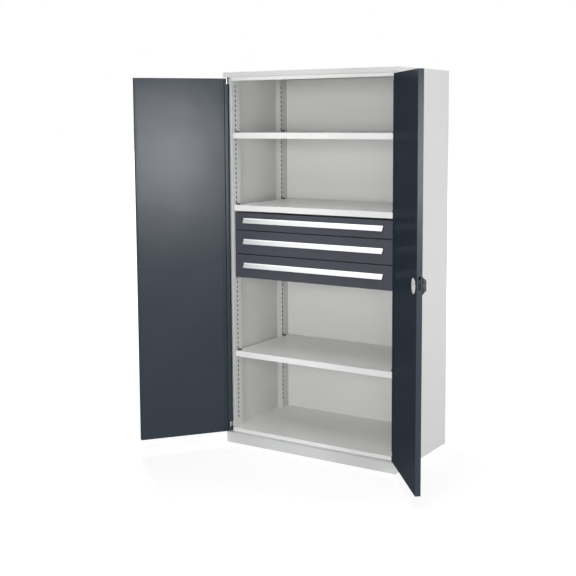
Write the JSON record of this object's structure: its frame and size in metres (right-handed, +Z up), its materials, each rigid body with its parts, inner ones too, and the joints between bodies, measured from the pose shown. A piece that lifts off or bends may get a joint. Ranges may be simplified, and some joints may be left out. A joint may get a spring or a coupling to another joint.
{
  "type": "tool cabinet with doors",
  "caption": "Tall sheet-metal tool cabinet with two hinged doors standing open, height-set shelves, a block of drawers on telescopic slides and a rod lock.",
  "frame": {"origin": "on the floor, under the middle of the carcass", "axes": "+Z up, +X to the right as seen from the front, the doors at -Y"},
  "size_m": [1.5986, 0.9566, 1.95],
  "materials": {
    "carcass_paint": "semi-gloss light grey powder coat",
    "shelf_paint": "semi-gloss white-grey powder coat",
    "door_paint": "semi-gloss anthracite powder coat",
    "handle_aluminium": "pale satin anodised",
    "zinc_steel": "bright zinc plated",
    "nickel": "satin nickel",
    "black_plastic": "fine-grained black",
    "white_plastic": "white"
  },
  "bodies": {
    "carcass": {"side_panel_left": "carcass_paint", "side_panel_right": "carcass_paint", "top_panel": "carcass_paint", "top_rail": "shelf_paint", "plinth_front": "carcass_paint", "plinth_rear": "carcass_paint", "floor_panel": "shelf_paint", "floor_support": "carcass_paint", "back_panel": "carcass_paint", "post_front_left": "carcass_paint", "post_front_right": "carcass_paint", "post_rear_left": "carcass_paint", "post_rear_right": "carcass_paint", "shelf_upper": "shelf_paint", "shelf_middle": "shelf_paint", "shelf_lower": "shelf_paint", "shelf_clips": "zinc_steel", "drawer_carrier_left": "carcass_paint", "drawer_carrier_right": "carcass_paint", "cabinet_rails": "zinc_steel", "hinge_pins": "zinc_steel", "rod_keepers": "zinc_steel"},
    "left_door": {"door_left_pan": "door_paint", "door_left_inner_panel": "door_paint", "door_left_hinge_blocks": "black_plastic", "door_left_stiffener": "zinc_steel", "strike_plate": "zinc_steel"},
    "right_door": {"door_right_pan": "door_paint", "door_right_inner_panel": "door_paint", "door_right_hinge_blocks": "black_plastic", "door_right_stiffener": "zinc_steel", "lock_case": "zinc_steel", "rod_guides": "black_plastic", "lock_ring": "black_plastic", "lock_disc": "white_plastic", "lock_rosette": "black_plastic"},
    "lock_handle": {"lock_knob": "black_plastic", "lock_spindle": "zinc_steel", "lock_pinion": "zinc_steel"},
    "key_cylinder": {"lock_cylinder": "nickel"},
    "upper_rod": {"lock_rod_upper": "zinc_steel"},
    "lower_rod": {"lock_rod_lower": "zinc_steel"},
    "bolt": {"latch_bolt": "zinc_steel"},
    "drawer_top": {"drawer_top_box": "carcass_paint", "drawer_top_front": "door_paint", "drawer_top_handle": "handle_aluminium", "drawer_top_rails": "zinc_steel"},
    "slides_top": {"slide_top": "zinc_steel"},
    "drawer_middle": {"drawer_middle_box": "carcass_paint", "drawer_middle_front": "door_paint", "drawer_middle_handle": "handle_aluminium", "drawer_middle_rails": "zinc_steel"},
    "slides_middle": {"slide_middle": "zinc_steel"},
    "drawer_bottom": {"drawer_bottom_box": "carcass_paint", "drawer_bottom_front": "door_paint", "drawer_bottom_handle": "handle_aluminium", "drawer_bottom_rails": "zinc_steel"},
    "slides_bottom": {"slide_bottom": "zinc_steel"}
  },
  "joints": [
    {"name": "left_door_hinge", "type": "hinge", "parent": "carcass", "child": "left_door", "pos_m": [-0.487, -0.277, 0], "axis": [0, 0, -1], "range_deg": [-127.8, 52.2]},
    {"name": "right_door_hinge", "type": "hinge", "parent": "carcass", "child": "right_door", "pos_m": [0.487, -0.277, 0], "axis": [0, 0, 1], "range_deg": [-129.3, 50.7]},
    {"name": "lock_handle_turn", "type": "hinge", "parent": "right_door", "child": "lock_handle", "pos_m": [0.75935, -0.60975, 0.988], "axis": [0.7738, 0.6334, 0], "range_deg": [0, 90]},
    {"name": "key_turn", "type": "hinge", "parent": "lock_handle", "child": "key_cylinder", "pos_m": [0.75935, -0.60975, 0.988], "axis": [0.7738, 0.6334, 0], "range_deg": [0, 90]},
    {"name": "upper_rod_slide", "type": "slide", "parent": "right_door", "child": "upper_rod", "axis": [0, 0, 1], "range_m": [0, 0.0201]},
    {"name": "lower_rod_slide", "type": "slide", "parent": "right_door", "child": "lower_rod", "axis": [0, 0, -1], "range_m": [0, 0.0201]},
    {"name": "bolt_slide", "type": "slide", "parent": "right_door", "child": "bolt", "axis": [0.6334, -0.7738, 0], "range_m": [0, 0.0201]},
    {"name": "drawer_top_slide", "type": "slide", "parent": "carcass", "child": "drawer_top", "axis": [0, -1, 0], "range_m": [0, 0.45]},
    {"name": "slides_top_slide", "type": "slide", "parent": "carcass", "child": "slides_top", "axis": [0, -1, 0], "range_m": [0, 0.226]},
    {"name": "drawer_middle_slide", "type": "slide", "parent": "carcass", "child": "drawer_middle", "axis": [0, -1, 0], "range_m": [0, 0.45]},
    {"name": "slides_middle_slide", "type": "slide", "parent": "carcass", "child": "slides_middle", "axis": [0, -1, 0], "range_m": [0, 0.226]},
    {"name": "drawer_bottom_slide", "type": "slide", "parent": "carcass", "child": "drawer_bottom", "axis": [0, -1, 0], "range_m": [0, 0.45]},
    {"name": "slides_bottom_slide", "type": "slide", "parent": "carcass", "child": "slides_bottom", "axis": [0, -1, 0], "range_m": [0, 0.226]}
  ],
  "couplings": [
    {"joint": "upper_rod_slide", "follows": "lock_handle_turn", "m_per_rad": 0.01275},
    {"joint": "lower_rod_slide", "follows": "lock_handle_turn", "m_per_rad": 0.01275},
    {"joint": "bolt_slide", "follows": "lock_handle_turn", "m_per_rad": 0.01275},
    {"joint": "slides_top_slide", "follows": "drawer_top_slide", "ratio": 0.5},
    {"joint": "slides_middle_slide", "follows": "drawer_middle_slide", "ratio": 0.5},
    {"joint": "slides_bottom_slide", "follows": "drawer_bottom_slide", "ratio": 0.5}
  ]
}
